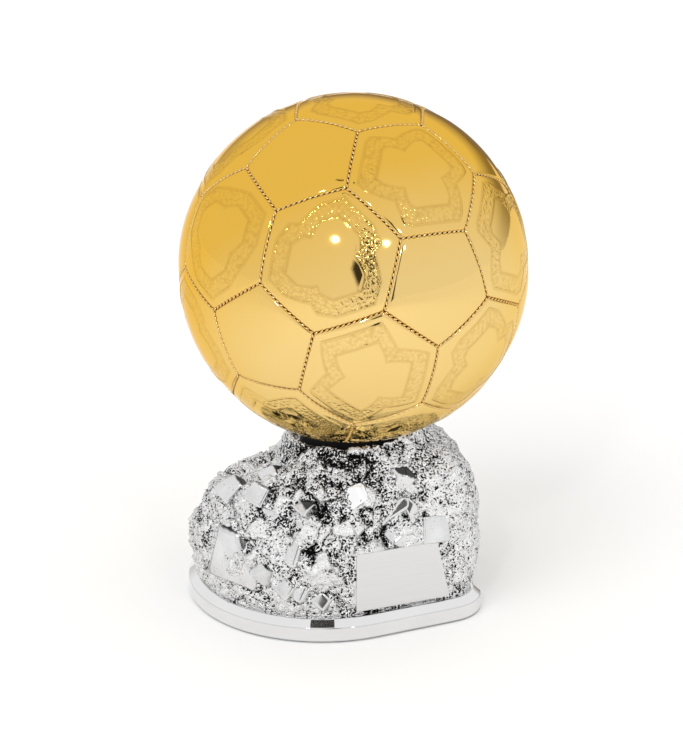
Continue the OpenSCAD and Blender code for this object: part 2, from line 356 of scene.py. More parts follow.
# %% Other finishes
def crystal_finish():
    """Smooth bright facets, cloudy in places, with painted shade on the sides that look up
    and a painted highlight that makes one crystal near white.
    """
    crystal = Finish("bright_crystal", Metallic=1.0)
    cloud = crystal.noise(70)
    tone = cloud.between(0.35, 0.7).blend((0.66, 0.66, 0.67), (0.78, 0.78, 0.78))
    specks = crystal.noise(900, 2.0).between(0.66, 0.70)
    # Painted shade on the faces that look up, plus a few black specks in the metal.
    painted_shading = (crystal.value("painted_shading") + cloud * 0.2 - 0.1 + specks * 0.5).between(0.1, 1)
    # Painted highlight: the crystal marked -1 is painted near white.
    tone = crystal.value("painted_shading").between(-0.1, -1.0).blend(tone, (0.97, 0.97, 0.97))
    crystal.set("Base Color", painted_shading.blend(tone, (0.05, 0.05, 0.051)))
    crystal.set("Roughness", 0.10 + cloud * 0.10)
    crystal.bump(cloud + crystal.noise(500, 2.0) * 0.08, 0.05)
    return crystal.material


def plinth_finish():
    """Polished silver-coloured metal with faint haze, and painted shade along its rounded edges."""
    polish = Finish("polished_silver", Metallic=1.0)
    haze = polish.noise(45, 4.0)
    tone = haze.between(0.3, 0.7).blend((0.775, 0.775, 0.78), (0.805, 0.805, 0.805))
    # Painted shade: a dark line along the profile's turns.
    polish.set("Base Color", (polish.value("edge") * 0.8).blend(tone, (0.22, 0.22, 0.22)))
    polish.set("Roughness", 0.015 + haze * 0.03)
    lines = polish.noise(300, 2.0, place=polish.mapped((1, 1, 12)))
    polish.bump(lines + haze * 2, 0.003)
    return polish.material


def plate_finish():
    """Brushed metal: noise drawn out along the plate's width, and a few longer scratches."""
    plate = Finish("brushed_plate", Metallic=1.0)
    brush = plate.noise(1400, place=plate.mapped((0.02, 1, 1)))
    scratch = plate.noise(160, 1.0, place=plate.mapped((0.15, 1, 2))).between(0.66, 0.7)
    plate.set("Base Color", brush.between(0.3, 0.7).blend((0.71, 0.71, 0.715), (0.74, 0.74, 0.74)))
    plate.set("Roughness", 0.24 + brush * 0.14 + scratch * 0.1)
    plate.bump(brush + scratch * 0.4, 0.02)
    return plate.material


def plain_finish(name, colour, dark, scale, roughness, depth_mm, **plain):
    """One colour drifting to a darker one, with noise in its roughness and its bump."""
    finish = Finish(name, **plain)
    grain = finish.noise(scale, 4.0)
    finish.set("Base Color", grain.between(0.3, 0.7).blend(dark, colour))
    finish.set("Roughness", roughness + grain * 0.12)
    finish.bump(finish.noise(scale * 6) + grain * 0.5, depth_mm)
    return finish.material


crystal_metal = crystal_finish()
polished = plinth_finish()
brushed = plate_finish()
enamel = plain_finish("black_enamel", (0.008, 0.008, 0.009), (0.003, 0.003, 0.003), 220, 0.40, 0.08,
                      Specular_IOR_Level=0.15)
steel = plain_finish("zinc_steel", (0.56, 0.57, 0.59), (0.45, 0.45, 0.47), 150, 0.25, 0.04,
                     Metallic=1.0)
brass = plain_finish("turned_brass", (0.70, 0.50, 0.20), (0.58, 0.40, 0.14), 150, 0.24, 0.04,
                     Metallic=1.0)
foam = plain_finish("adhesive_foam", (0.03, 0.03, 0.03), (0.012, 0.012, 0.012), 900, 0.7, 0.08)
board = plain_finish("cover_board", (0.025, 0.024, 0.022), (0.014, 0.014, 0.013), 500, 0.55, 0.06)
felt = plain_finish("green_felt", (0.035, 0.11, 0.06), (0.015, 0.06, 0.035), 1300, 0.85, 0.3,
                    Sheen_Weight=0.4)

NODE_FINISHES = {
    "seat_collar": enamel, "plate_adhesive": foam, "base_cover": board, "felt_pad": felt,
    "ball_joining_ring": brass, "ball_boss": brass, "rock_inserts": brass,
    "collar_dowels": steel, "tie_rod": steel, "ballast_disc": steel, "rod_flat_washer": steel,
    "rod_lock_washer": steel, "rod_nut": steel, "plinth_screws": steel,
    "plinth_screw_washers": steel, "cover_screws": steel,
}
for node, finish in NODE_FINISHES.items():
    mesh = frame["nodes"][node].data
    mesh.materials.clear()
    mesh.materials.append(finish)
print("finished frame nodes:", len(NODE_FINISHES))

# %% [markdown]
# ## The ball's pattern
# A football of twenty hexagons and twelve pentagons is a truncated icosahedron. Its sixty
# corners come from three seeds, with every sign and their numbers moved round in turn. The
# pentagons face the corners of an icosahedron and the hexagons those of a dodecahedron.

# %% Corners and panel middles
PHI = (1 + math.sqrt(5)) / 2
BALL_TURN = turn_matrix((45, 37.5, -1.5))


def signed_turns(seeds):
    """Every seed with every sign, its numbers moved round in turn, without repeats, as unit
    vectors turned to the way that the ball lies."""
    signs = np.array([(x, y, z) for x in (-1, 1) for y in (-1, 1) for z in (-1, 1)])
    made = (np.array(seeds)[:, None, :] * signs[None]).reshape(-1, 3)
    made = np.concatenate([np.roll(made, k, axis=1) for k in range(3)])
    return unit(np.unique(np.round(made, 9) + 0.0, axis=0)) @ BALL_TURN.T


corners = signed_turns([(0, 1, 3 * PHI), (1, 2 + PHI, 2 * PHI), (PHI, 2, 2 * PHI + 1)])
pentagon_middles = signed_turns([(0, 1, PHI)])
hexagon_middles = signed_turns([(1, 1, 1), (0, PHI, 1 / PHI)])
print(len(corners), "corners,", len(pentagon_middles), "pentagons,", len(hexagon_middles),
      "hexagons")

# %% [markdown]
# ## Panels
# Each panel is a closed pillow. Its top is a grid of two parameters: how far along the
# outline, and how far in towards the middle. It rolls in sharply at the seam and swells
# slowly towards the middle. A hexagon also carries a plain zigzag band: two raised lines
# with a pebbled strip between them.

# %% Panel surface
SEAM_DEPTH = 1.5        # how far a panel's edge lies below the ball's outer radius
ROLL = 0.7              # the part of that depth in the sharp roll beside the seam
ROLL_WIDTH = 0.6
SWELL_WIDTH = 9.0
DENT = 0.07             # how far the plate's long ripples rise and sink
SEAM_GAP = 0.60         # half of the open width between two panels
RIM_DROP = 0.8          # how far a panel's side runs down beside the seam
BAND = (0.52, 0.78)     # the zigzag band's two lines, as shares of the way to a side
LINE_HEIGHT = 0.40      # the raised lines of the zigzag band
LINE_WIDTH = 0.7
BAND_DEPTH = 0.15       # how far the pebbled strip lies lower
FLOOR_R = BALL_R - 1.95     # the shell at the bottom of the seams


def zigzag(angle, teeth):
    """A triangle wave of -1 to 1 round the panel, with teeth peaks."""
    return 1 - 4 * np.abs((angle * teeth / (2 * math.pi)) % 1 - 0.5)


def waves(points, size, seed):
    """A smooth random field of about -1 to 1: the mean of five sines along random
    directions, each about size long."""
    rng = np.random.default_rng(seed)
    ways = unit(rng.normal(size=(5, 3))) * rng.uniform(0.7, 1.3, (5, 1))
    phase = rng.uniform(0, 2 * math.pi, 5)
    return np.sin(points @ ways.T * (2 * math.pi / size) + phase).mean(axis=1) * 1.6


def panel_outline(middle, sides):
    """The panel's corners on the flat plane that touches the ball at middle, in order, with
    the plane's two axes. A flat point is a corner divided by its height along middle."""
    ring = corners[np.argsort(-(corners @ middle))[:sides]]
    across = unit(ring[0] - (ring[0] @ middle) * middle)
    along = np.cross(middle, across)
    flat = np.stack([ring @ across, ring @ along], axis=-1) / (ring @ middle)[:, None]
    return flat[np.argsort(np.arctan2(flat[:, 1], flat[:, 0]))], across, along


def zigzag_band(around, shares, scale):
    """How strong the two raised lines, their flanks and the strip between them are, from 0 to
    1. A line is exp(-(gap / width)^2), where gap is how far a point lies past a share of the
    way to the nearest side, and that share wobbles round the panel as two zigzags."""
    wobble = 0.10 * zigzag(around, 3) + 0.05 * zigzag(around, 6)
    inner, outer = ((shares - level - wobble) * scale for level in BAND)
    lines = sum(np.exp(-(gap / LINE_WIDTH) ** 2) for gap in (inner, outer))
    flank = sum(np.abs(gap) * np.exp(-(gap / LINE_WIDTH) ** 2) for gap in (inner, outer))
    pebbled = smoothstep(0, 0.8, inner) * smoothstep(0, 0.8, -outer)
    return lines, flank * (2.3 / LINE_WIDTH), pebbled


def panel_grid(flat, per_side, rows, trim):
    """Flat points q = outline(s) * (1 - t) * trim, ring after ring, and last the middle. The
    rings crowd near the seam, where the surface turns most."""
    s = np.arange(per_side)[:, None] / per_side
    outline = (flat[:, None] * (1 - s) + np.roll(flat, -1, axis=0)[:, None] * s).reshape(-1, 2)
    t = np.linspace(0, 1, rows + 1)[:-1]
    t = 0.25 * t + 0.75 * t ** 1.7
    q = (outline[None] * (1 - t)[:, None, None] * trim).reshape(-1, 2)
    return np.concatenate([q, [[0, 0]]])


def pillow(name, top, middle, rows, columns, values):
    """The piece under a panel's top: its rings and middle, then a side wall that runs down
    beside the seam, and an underside that is a fan."""
    count, ring = len(top), np.arange(columns)
    low_ring = count + ring
    low = top[ring] * (1 - RIM_DROP / BALL_R)
    points = np.concatenate([top, low, [middle * (BALL_R - SEAM_DEPTH - RIM_DROP)]])
    faces = [
        grid_faces(rows, columns, wrap=True),
        fan_faces(ring + (rows - 1) * columns, count - 1),
        np.stack([low_ring, np.roll(low_ring, -1), np.roll(ring, -1), ring], axis=-1),
        fan_faces(low_ring, count + columns, flip=True),
    ]
    below = np.zeros(columns + 1)
    values = {key: np.concatenate([numbers, below]) for key, numbers in values.items()}
    return make_piece(name, points + (0, 0, BALL_Z), faces, gold, values=values)


def panel(name, middle, sides, per_side, rows, turn=None):
    """A closed panel round the unit vector middle. With turn, an angle, it has a zigzag band.

    A flat point q of its grid is thrown out along its direction to the radius
    R - depth + roll * P(roll width) + (depth - roll) * P(swell width), where P(w) is the
    product, over the sides, of 1 - exp(-distance to that side / w). A product has no crease
    at a corner, as a least distance has.
    """
    flat, across, along = panel_outline(middle, sides)
    mids = (flat + np.roll(flat, -1, axis=0)) / 2
    reach = np.linalg.norm(mids, axis=1).mean()
    trim = 1 - SEAM_GAP / BALL_R / reach    # what the open seam leaves of the outline
    q = panel_grid(flat, per_side, rows, trim)

    shares = q @ unit(mids).T / reach
    gaps = np.maximum(0, trim - shares) * reach * BALL_R
    roll = np.prod(1 - np.exp(-gaps / ROLL_WIDTH), axis=1)
    swell = np.prod(1 - np.exp(-gaps / SWELL_WIDTH), axis=1)
    swell /= (1 - math.exp(-reach * BALL_R / SWELL_WIDTH)) ** sides
    ways = unit(middle + q[:, :1] * across + q[:, 1:] * along)
    r = BALL_R - SEAM_DEPTH + ROLL * roll + (SEAM_DEPTH - ROLL) * swell
    r += DENT * waves(ways * BALL_R, 30, 3) * roll
    pebbled, flank = np.zeros(len(q)), np.zeros(len(q))
    if turn is not None:
        around = np.arctan2(q[:, 1], q[:, 0]) + turn
        lines, flank, pebbled = zigzag_band(around, shares.max(axis=1), reach * BALL_R)
        r += (LINE_HEIGHT * lines - BAND_DEPTH * pebbled) * smoothstep(0.3, 0.9, roll)
    top = ways * np.minimum(r, BALL_R)[:, None]
    return pillow(name, top, middle, rows, sides * per_side,
                  {"pebbled": pebbled, "flank": flank})


FINE = 1
for k, middle in enumerate(pentagon_middles):
    panel(f"pentagon_{k:02d}", middle, 5, 24 // FINE, 22 // FINE)
for k, middle in enumerate(hexagon_middles):
    panel(f"hexagon_{k:02d}", middle, 6, 48 // FINE, 56 // FINE, turn=k * 1.1 + math.pi / 3)
print("panels:", len(pentagon_middles) + len(hexagon_middles))

# %% [markdown]
# ## The shell under the panels and the stitches
# Below the seams lies one round shell, painted near black as the shade deep in the seams.
# Along each of the ninety seams runs a row of short stitches, tilted a little, like the turns
# of a cord. One stitch is a spindle of a few dozen faces, and whole arrays place every copy at
# once.

# %% Seam floor
def ball_skin(name, radius, material, rows=96, columns=192):
    """A round skin about the ball's middle: rings of latitude closed by two fans."""
    tilt = np.linspace(-math.pi / 2, math.pi / 2, rows + 2)[1:-1, None]
    spin = np.linspace(0, 2 * math.pi, columns, endpoint=False)[None, :]
    rings = np.stack([np.cos(tilt) * np.cos(spin), np.cos(tilt) * np.sin(spin),
                      np.sin(tilt) + 0 * spin], axis=-1).reshape(-1, 3)
    points = np.concatenate([rings, [[0, 0, -1], [0, 0, 1]]]) * radius + (0, 0, BALL_Z)
    return make_piece(name, points, closed_faces(rows, columns), material)


# The seam floor is painted near black, as the shade deep inside the seams.
seam_shade_gold = plain_finish("seam_shade_gold", (0.030, 0.018, 0.007), (0.015, 0.009, 0.004), 300, 0.35, 0.05,
                         Metallic=1.0, Specular_Tint=(0.1, 0.06, 0.03))
thread = plain_finish("gilt_thread", (0.88, 0.64, 0.30), (0.74, 0.48, 0.16), 500, 0.10, 0.03,
                      Metallic=1.0, Specular_Tint=(0.60, 0.40, 0.15))
shell = ball_skin("ball_shell", FLOOR_R, seam_shade_gold)
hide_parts("ball_upper_shell", "ball_lower_shell")

# %% Stitches
STITCHES = 13           # on each seam
STITCH_LONG = 1.25      # half of a stitch's length
STITCH_WIDE = 0.58      # half of its width
STITCH_TILT = math.radians(24)
STITCH_LIFT = 0.45      # its middle, above the panels' edges


def spindle(rings=5, sides=6):
    """A unit spindle along X: rings of a circle whose radius is the root of 1 - x^4."""
    x = np.linspace(-0.92, 0.92, rings)[:, None]
    spin = np.linspace(0, 2 * math.pi, sides, endpoint=False)[None, :]
    radius = np.sqrt(1 - x ** 4)
    body = np.stack([x + 0 * spin, radius * np.cos(spin), radius * np.sin(spin)], axis=-1)
    points = np.concatenate([body.reshape(-1, 3), [[-1, 0, 0], [1, 0, 0]]])
    return points, closed_faces(rings, sides)


def seam_pairs():
    """Both corners of every seam: the pairs of corners that lie nearest together."""
    apart = np.linalg.norm(corners[:, None] - corners[None], axis=-1)
    near = apart[apart > 0.01].min() * 1.01
    return np.argwhere(np.triu((apart < near) & (apart > 0.01)))


def stitches():
    """Every stitch of the ball, in one mesh, and how many there are. A stitch's middle is on
    the arc between two corners, and its length lies along the arc, turned by the tilt about
    the ball's radius."""
    pairs = seam_pairs()
    start, end = corners[pairs[:, 0]], corners[pairs[:, 1]]
    share = (np.arange(STITCHES) + 0.5)[None, :, None] / STITCHES
    up = unit(start[:, None] * (1 - share) + end[:, None] * share).reshape(-1, 3)
    along = np.repeat(end - start, STITCHES, axis=0)
    along = unit(along - (along * up).sum(axis=1, keepdims=True) * up)
    side = np.cross(up, along)
    long = along * math.cos(STITCH_TILT) + side * math.sin(STITCH_TILT)
    wide = np.cross(up, long)
    bead, faces = spindle()
    places = up * (BALL_R - SEAM_DEPTH + STITCH_LIFT)
    points = (places[:, None] + bead[None, :, :1] * long[:, None] * STITCH_LONG
              + bead[None, :, 1:2] * wide[:, None] * STITCH_WIDE
              + bead[None, :, 2:] * up[:, None] * STITCH_WIDE)
    shift = np.arange(len(up))[:, None, None] * len(bead)
    faces = [(f[None] + shift).reshape(-1, f.shape[1]) for f in faces]
    make_piece("stitches", points.reshape(-1, 3) + (0, 0, BALL_Z), faces, thread)
    return len(up)


print("stitches:", stitches())

# The rock and the plinth don't mirror the ball, which would tint their silver yellow.
for piece in bpy.data.objects:
    if piece.name.startswith(("pentagon_", "hexagon_", "ball_shell")):
        piece.visible_glossy = False

# %% [markdown]
# ## The plan of the base
# Plinth and rock share one outline: a band pulled tight round three circles. Its tangent
# line that faces angle a lies as far out as the farthest circle reaches that way, and the
# outline in any direction is the nearest of those lines. Moving every line inwards by d
# gives a smaller outline of the same kind, which is what a bevel needs.

# %% Plan of the base
PLAN_CIRCLES = np.array([(-17, 9, 83.5), (38, -46.5, 26), (38, 62, 28)], float)
PLAN_MIDDLE = np.array((-10, 9), float)
TANGENTS = np.radians(np.arange(0, 360, 2))
REACH = ((PLAN_CIRCLES[:, :2] - PLAN_MIDDLE) @ [np.cos(TANGENTS), np.sin(TANGENTS)]
         + PLAN_CIRCLES[:, 2:]).max(axis=0)


def plan_point(direction, inward):
    """The outline's point in a direction: the least of (reach - inward) / cos(a - direction)
    over the tangent lines that face that way."""
    lean = np.cos(TANGENTS - direction[..., None])
    lines = np.where(lean > 0.2, (REACH - inward[..., None]) / np.maximum(lean, 0.2), 1e9)
    radius = lines.min(axis=-1)[..., None]
    return PLAN_MIDDLE + radius * np.stack([np.cos(direction), np.sin(direction)], axis=-1)


print("plinth's plan, millimetres:", plinth_low[:2].round(1), plinth_high[:2].round(1))

# %% [markdown]
# ## The plinth
# The plinth is one turned and polished rim with an upright wall and a bevel. A profile of
# inward step and height is carried round the plan. Where two faces meet, the profile turns
# through a short curve, because no real edge is perfectly sharp. A bevel modifier could do
# it too, but here the same profile also says where the edges are, where the finish paints a
# dark line of shade.

# %% Plinth
def corner_curve(start, corner, end, steps):
    """Points of the quadratic Bezier curve (1-t)^2 start + 2t(1-t) corner + t^2 end."""
    t = np.linspace(0, 1, steps)[:, None]
    return (1 - t) ** 2 * start + 2 * t * (1 - t) * corner + t ** 2 * end


def rounded_profile(points, radius=0.5):
    """A polyline with each inner corner replaced by a curve, whose ends lie radius before and
    after the corner. One more point on each side of it keeps the shading of the flats flat."""
    made = [points[0]]
    for before, here, after in zip(points, points[1:], points[2:]):
        back, on = unit(before - here), unit(after - here)
        room = min(radius, np.linalg.norm(before - here) / 3, np.linalg.norm(after - here) / 3)
        made.append(here + back * room * 1.4)
        made.extend(corner_curve(here + back * room, here, here + on * room, 5))
        made.append(here + on * room * 1.4)
    return np.array([*made, points[-1]])


def carried_round(name, profile, material, count=288):
    """The profile's (inward step, height) carried round the plan, closed by two fans. The
    number edge is 1 where the profile turns, and 0 on its flats."""
    around = np.linspace(0, 2 * math.pi, count, endpoint=False)
    inward, direction = np.meshgrid(profile[:, 0], around, indexing="ij")
    flat = plan_point(direction, inward)
    height = np.broadcast_to(profile[:, 1:], inward.shape)[..., None]
    points = np.concatenate([flat, height], axis=-1).reshape(-1, 3)
    ends = [[*PLAN_MIDDLE, profile[0, 1]], [*PLAN_MIDDLE, profile[-1, 1]]]
    steps = unit(np.diff(profile, axis=0))
    turned = 1 - np.abs((steps[1:] * steps[:-1]).sum(axis=1))
    edge = np.repeat(np.concatenate([[0], np.minimum(1, turned * 12), [0]]), count)
    return make_piece(name, np.concatenate([points, ends]), closed_faces(len(profile), count),
                      material, values={"edge": [*edge, 0, 0]})


FOOT_Z = plinth_low[2]
FOOT_BEVEL = 0.8
WALL_Z = 9.8
BEVEL_IN = 5.0
COVER_IN = 6.0          # the plinth's underside has a place for the cover
COVER_TOP = 4.6
plinth_profile = rounded_profile(np.array([
    (2 * COVER_IN, COVER_TOP), (COVER_IN, COVER_TOP), (COVER_IN, FOOT_Z), (FOOT_BEVEL, FOOT_Z),
    (0, FOOT_Z + FOOT_BEVEL), (0, WALL_Z), (BEVEL_IN, PLINTH_Z), (4 * BEVEL_IN, PLINTH_Z)]))
plinth = carried_round("plinth_rim", plinth_profile, polished)
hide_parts("plinth")
print("plinth profile points:", len(plinth_profile))

# %% [markdown]
# ## The name plate
# The plate stays blank. Loops of its outline run from the back edge, over a small rounded
# rim, and in across the face to its middle.

# %% Name plate
PLATE_HEAD_LONG = 52.5  # the plate's upper side, which is shorter than its foot


def plate_piece(corner_r=1.2, rim_r=0.5):
    """The plate: its outline's loops, each moved in and back along the rim's quarter circle."""
    left, right = plate_low[0], plate_high[0]
    foot, head = plate_low[2], plate_high[2]
    face, back = plate_low[1], plate_high[1]
    shape = np.array([(left, foot), (right, foot), (left + PLATE_HEAD_LONG, head), (left, head)])
    loop = []
    for before, here, after in zip(np.roll(shape, 1, axis=0), shape, np.roll(shape, -1, axis=0)):
        start, end = (here + unit(other - here) * corner_r for other in (before, after))
        loop.extend(corner_curve(start, here, end, 6))
    loop = np.array(loop)
    middle = loop.mean(axis=0)
    out = unit(np.stack([np.roll(loop, -1, 0)[:, 1] - np.roll(loop, 1, 0)[:, 1],
                         np.roll(loop, 1, 0)[:, 0] - np.roll(loop, -1, 0)[:, 0]], axis=-1))
    turns = np.linspace(0, math.pi / 2, 5)
    path = [(0, back)] + [(rim_r * (1 - math.cos(t)), face + rim_r * (1 - math.sin(t)))
                          for t in turns]
    flats = [loop - out * inward for inward, _ in path]
    flats += [flats[-1] * (1 - share) + middle * share for share in (0.1, 0.5)]
    depths = [depth for _, depth in path] + [face, face]
    rings = [np.stack([flat[:, 0], np.full(len(flat), depth), flat[:, 1]], axis=-1)
             for flat, depth in zip(flats, depths)]
    ends = [[middle[0], back, middle[1]], [middle[0], face, middle[1]]]
    return make_piece("blank_name_plate", np.concatenate([*rings, ends]),
                      closed_faces(len(rings), len(loop)), brushed)


plate = plate_piece()
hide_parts("name_plate")

# %% [markdown]
# ## The rock
# The rock is a grid carried round the plan and up to the collar, then pushed in and out by
# noise worked out on whole arrays. Broken stone is made of small flat faces, so the main
# noise is cellular: space is cut into cells round scattered seeds, and each cell tilts the
# surface its own way. Where two cells meet runs a crevice.

# %% Noise on whole arrays
def cell_noise(points, size, seed):
    """For each point, of the cells of about size: its seed's offset, how far the seed is,
    how near the cell's border is, and four random numbers of the cell.

    Each cube of a lattice holds one jittered seed. The nearest two of the 27 cubes round a
    point give the distances F1 and F2, and F2 - F1 is small at a border.
    """
    table = np.random.default_rng(seed).random((4096, 7))
    place = points / size
    base = np.floor(place).astype(np.int64)
    best = np.full(len(place), 9.0)
    second = np.full(len(place), 9.0)
    offset = np.zeros_like(place)
    numbers = np.zeros((len(place), 4))
    for step in np.ndindex(3, 3, 3):
        cube = base + np.array(step) - 1
        key = (cube @ np.array([73856093, 19349663, 83492791])) % 4096
        away = place - (cube + table[key, :3])
        far = np.linalg.norm(away, axis=1)
        nearer = far < best
        second = np.where(nearer, best, np.minimum(second, far))
        offset[nearer], numbers[nearer] = away[nearer], table[key[nearer], 3:]
        best = np.minimum(best, far)
    return offset * size, best, second - best, numbers


def facets(points, size, seed):
    """Heights of about -1 to 1 from flat tilted cells, and 1 in the crevices between them."""
    offset, _, border, numbers = cell_noise(points, size, seed)
    slope = (offset / size * (numbers[:, :3] * 2 - 1)).sum(axis=1)
    height = slope * 1.6 + (numbers[:, 3] - 0.5) * 1.2
    return height, np.exp(-(border / 0.09) ** 2)


# %% Rock surface
ROCK_RINGS = np.array([
    (6, 0, 0), (4.5, 0, .06), (3, 0, .15), (2, 0, .26), (1.5, 0, .38), (4, 0, .5),
    (6, 0, .61), (8.5, 0, .72), (11.5, 0, .81), (16, 0, .9), (19, .1, .96), (19, .24, 1),
    (19, .4, 1.01), (19, .56, 1.01)])   # inward step, share towards the rod, share of height
SHOULDER_RISE = 10.0
FRONT, LEFT, BACK_LEFT, BACK, RIGHT = 270, 200, 142, 115, -20    # directions in degrees
BED_DEPTH = 0.7         # from the plate's face back to its bed
ROCK_TOP = SEAT_Z - 0.05
SHADOW_SPOT = (-28, -38, 94)      # under the ball's left front, where the painted shadow is darkest
SHADOW_REACH = (40, 36, 22)
ROCK_COLUMNS, ROCK_ROWS = 560 // FINE, 168 // FINE


def facing(direction, degrees):
    """The squared cosine of the angle from a direction, and 0 on the far side."""
    return np.maximum(0, np.cos(direction - math.radians(degrees))) ** 2


def rock_base(direction, share):
    """The smooth rock: the ring at this share of the way up, carried round the plan. The
    front leans back over the plate, the back slopes most, the right shoulder is full and the
    left one low. A rim stands up round the collar."""
    k = share * (len(ROCK_RINGS) - 1)
    inward, closer, h = (np.interp(k, np.arange(len(ROCK_RINGS)), c) for c in ROCK_RINGS.T)
    lean = (facing(direction, FRONT) * (2 + 11 * np.maximum(0, h - 0.45))
            + facing(direction, BACK) * 46 * np.maximum(0, h - 0.3)
            - facing(direction, RIGHT) * 26 * np.maximum(0, h - 0.45))
    swell = (np.sin(5 * direction + 4.54 * h) + np.sin(9 * direction - 7.16 * h + 0.7)
             + np.sin(16 * direction + 12.2 * h)) / 3
    fade = np.minimum(1, 8 * h)
    flat = plan_point(direction, inward + lean + 1.8 * fade * swell) * (1 - closer)[..., None]
    top = SEAT_Z + 1 + SHOULDER_RISE / 2 * np.cos(direction + math.radians(30)) * h
    z = PLINTH_Z + (top - PLINTH_Z) * h
    rho = np.hypot(flat[..., 0], flat[..., 1])
    z -= 21 * facing(direction, BACK_LEFT) * smoothstep(0.7, 1, h) * smoothstep(41, 52, rho)
    rim = 7.0 + 1.5 * np.cos(direction - math.radians(RIGHT)) + 4.2 * facing(direction, LEFT)
    rim *= np.exp(-((rho - 40.5) / 5) ** 2)
    return np.concatenate([flat, (z + rim)[..., None]], axis=-1)


CREVICES = [  # start, end, width, depth
    ((-4, -52, 90), (-6, -68, 58), 3.2, 2.6), ((-66, -30, 90), (-62, -33, 80), 4.5, 2.5),
    ((-52, -50, 83), (-44, -54, 80), 4.0, 2.5), ((-50, -60, 52), (-55, -60, 66), 3.5, 3.0),
    ((20, -66, 72), (22, -70, 58), 2.0, 2.0), ((-88, -8, 78), (-84, -16, 84), 3.5, 2.0),
    ((-90, -30, 30), (-70, -52, 22), 2.0, 1.5), ((46, -70, 50), (48, -71, 24), 2.0, 1.5),
]
LUMPS = [  # middle, radius, height
    ((64, -50, 66), 12, 3.0), ((64, -50, 48), 10, -2.0), ((-97, 8, 36), 14, -1.5),
    ((-94, 2, 54), 16, -4.5),
    ((-48, -20, 97), 9, 2.5), ((-30, -34, 97), 8, 2.0), ((-4, -46, 98), 10, 2.0),
    ((22, -42, 100), 10, 2.0),
]


def reach_of(points, start, end):
    """How far each point lies from the straight line between two points."""
    start, way = np.array(start, float), np.subtract(end, start).astype(float)
    along = np.clip((points - start) @ way / (way @ way), 0, 1)
    return np.linalg.norm(points - start - along[:, None] * way, axis=1)


def grid_normals(grid):
    """Outward normals of a grid that wraps round: along the columns crossed with up."""
    along = np.roll(grid, -1, axis=1) - np.roll(grid, 1, axis=1)
    up = np.gradient(grid, axis=0)
    return unit(np.cross(along, up))


# %% Rock relief
def rock_relief(flat, around):
    """How far each point stands out: facets of three sizes, less crevices and small pits. The
    right side is smoother than the rest."""
    rugged = 0.4 + 0.6 * smoothstep(0.45, -0.25, np.cos(around - 0.3)).ravel()
    patches = [smoothstep(-0.2, 0.5, waves(flat, size, seed)) for size, seed in ((26, 5), (15, 6))]
    big, big_gap = facets(flat, 12, 11)
    mid, mid_gap = facets(flat + 40, 5.5, 12)
    small, _ = facets(flat + 80, 2.9, 13)
    _, pit, _, numbers = cell_noise(flat + 120, 2.6, 14)
    pits = smoothstep(0.42, 0.2, pit) * (numbers[:, 3] > 0.6)
    low = 1.5 * big_gap * patches[0] * rugged + 0.8 * mid_gap * patches[1] + 0.6 * pits
    for start, end, width, depth in CREVICES:
        low = low + depth * np.exp(-(reach_of(flat, start, end) / width) ** 2)
    return rugged * (1.5 * big + 0.8 * mid) + 0.45 * small - low


def beds(grid):
    """The same grid with a flat bed behind the plate and a level seat under the collar."""
    x, y, z = np.moveaxis(grid, -1, 0)
    bed = (smoothstep(-30, -27, x) * smoothstep(41, 37, x + (z - 17) * 0.22)
           * smoothstep(58, 55, z) * (y < 0))
    y = y * (1 - bed) + np.maximum(y, plate_low[1] + BED_DEPTH) * bed
    seat = smoothstep(36.8, 34.8, np.hypot(x, y))
    z = z * (1 - seat) + ROCK_TOP * seat
    return np.stack([x, y, z], axis=-1)


def painted_shadow_under_ball(flat):
    """How much painted shadow is added: most round the dark spot under the ball, as
    exp(-distance^2), and a good deal all round the collar."""
    spot = np.linalg.norm((flat - SHADOW_SPOT) / SHADOW_REACH, axis=1)
    return np.exp(-spot ** 2) + 0.8 * smoothstep(74, 42, np.hypot(flat[:, 0], flat[:, 1]))


# %% Rock piece
def rock_piece():
    """The rock: its base pushed along its normals by relief and lumps. The number that its
    finish reads is high where a point lies below its neighbourhood, where the antiquing stays
    black, and under the ball and round the collar, where shadow is painted."""
    share = np.linspace(0, 1, ROCK_ROWS)
    around = np.linspace(0, 2 * math.pi, ROCK_COLUMNS, endpoint=False)
    share, around = np.meshgrid(share, around, indexing="ij")
    base = rock_base(around, share)
    flat = base.reshape(-1, 3)
    relief = rock_relief(flat, around)
    lumps = sum(height * np.exp(-(np.linalg.norm(flat - middle, axis=1) / radius) ** 2)
                for middle, radius, height in LUMPS)
    push = (relief + lumps) * smoothstep(0, 0.05, share.ravel())
    grid = beds((flat + grid_normals(base).reshape(-1, 3) * push[:, None]).reshape(base.shape))
    # Black wash in low places, plus painted shadow under the ball and round the collar.
    hollow = 0.505 - 0.14 * relief + 0.12 * painted_shadow_under_ball(flat)
    points = np.concatenate([grid.reshape(-1, 3), [[0, 0, PLINTH_Z], [0, 0, ROCK_TOP]]])
    return make_piece("rock_surface", points, closed_faces(ROCK_ROWS, ROCK_COLUMNS), rock_metal,
                      values={"hollow": np.concatenate([hollow, [0, 0]])})


rock = rock_piece()
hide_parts("rock_casting")
print("rock points:", len(rock.data.vertices))

# %% [markdown]
# ## Crystals
# Smooth crystals stand out of the rock, cast in one with it. Each is a convex body bounded
# by flat faces: along any direction its surface is where the nearest face is met. Taking a
# soft least instead of the true one rounds its edges a little. The faces that look up are
# painted dark as shade, and one round crystal is painted near white as a highlight.

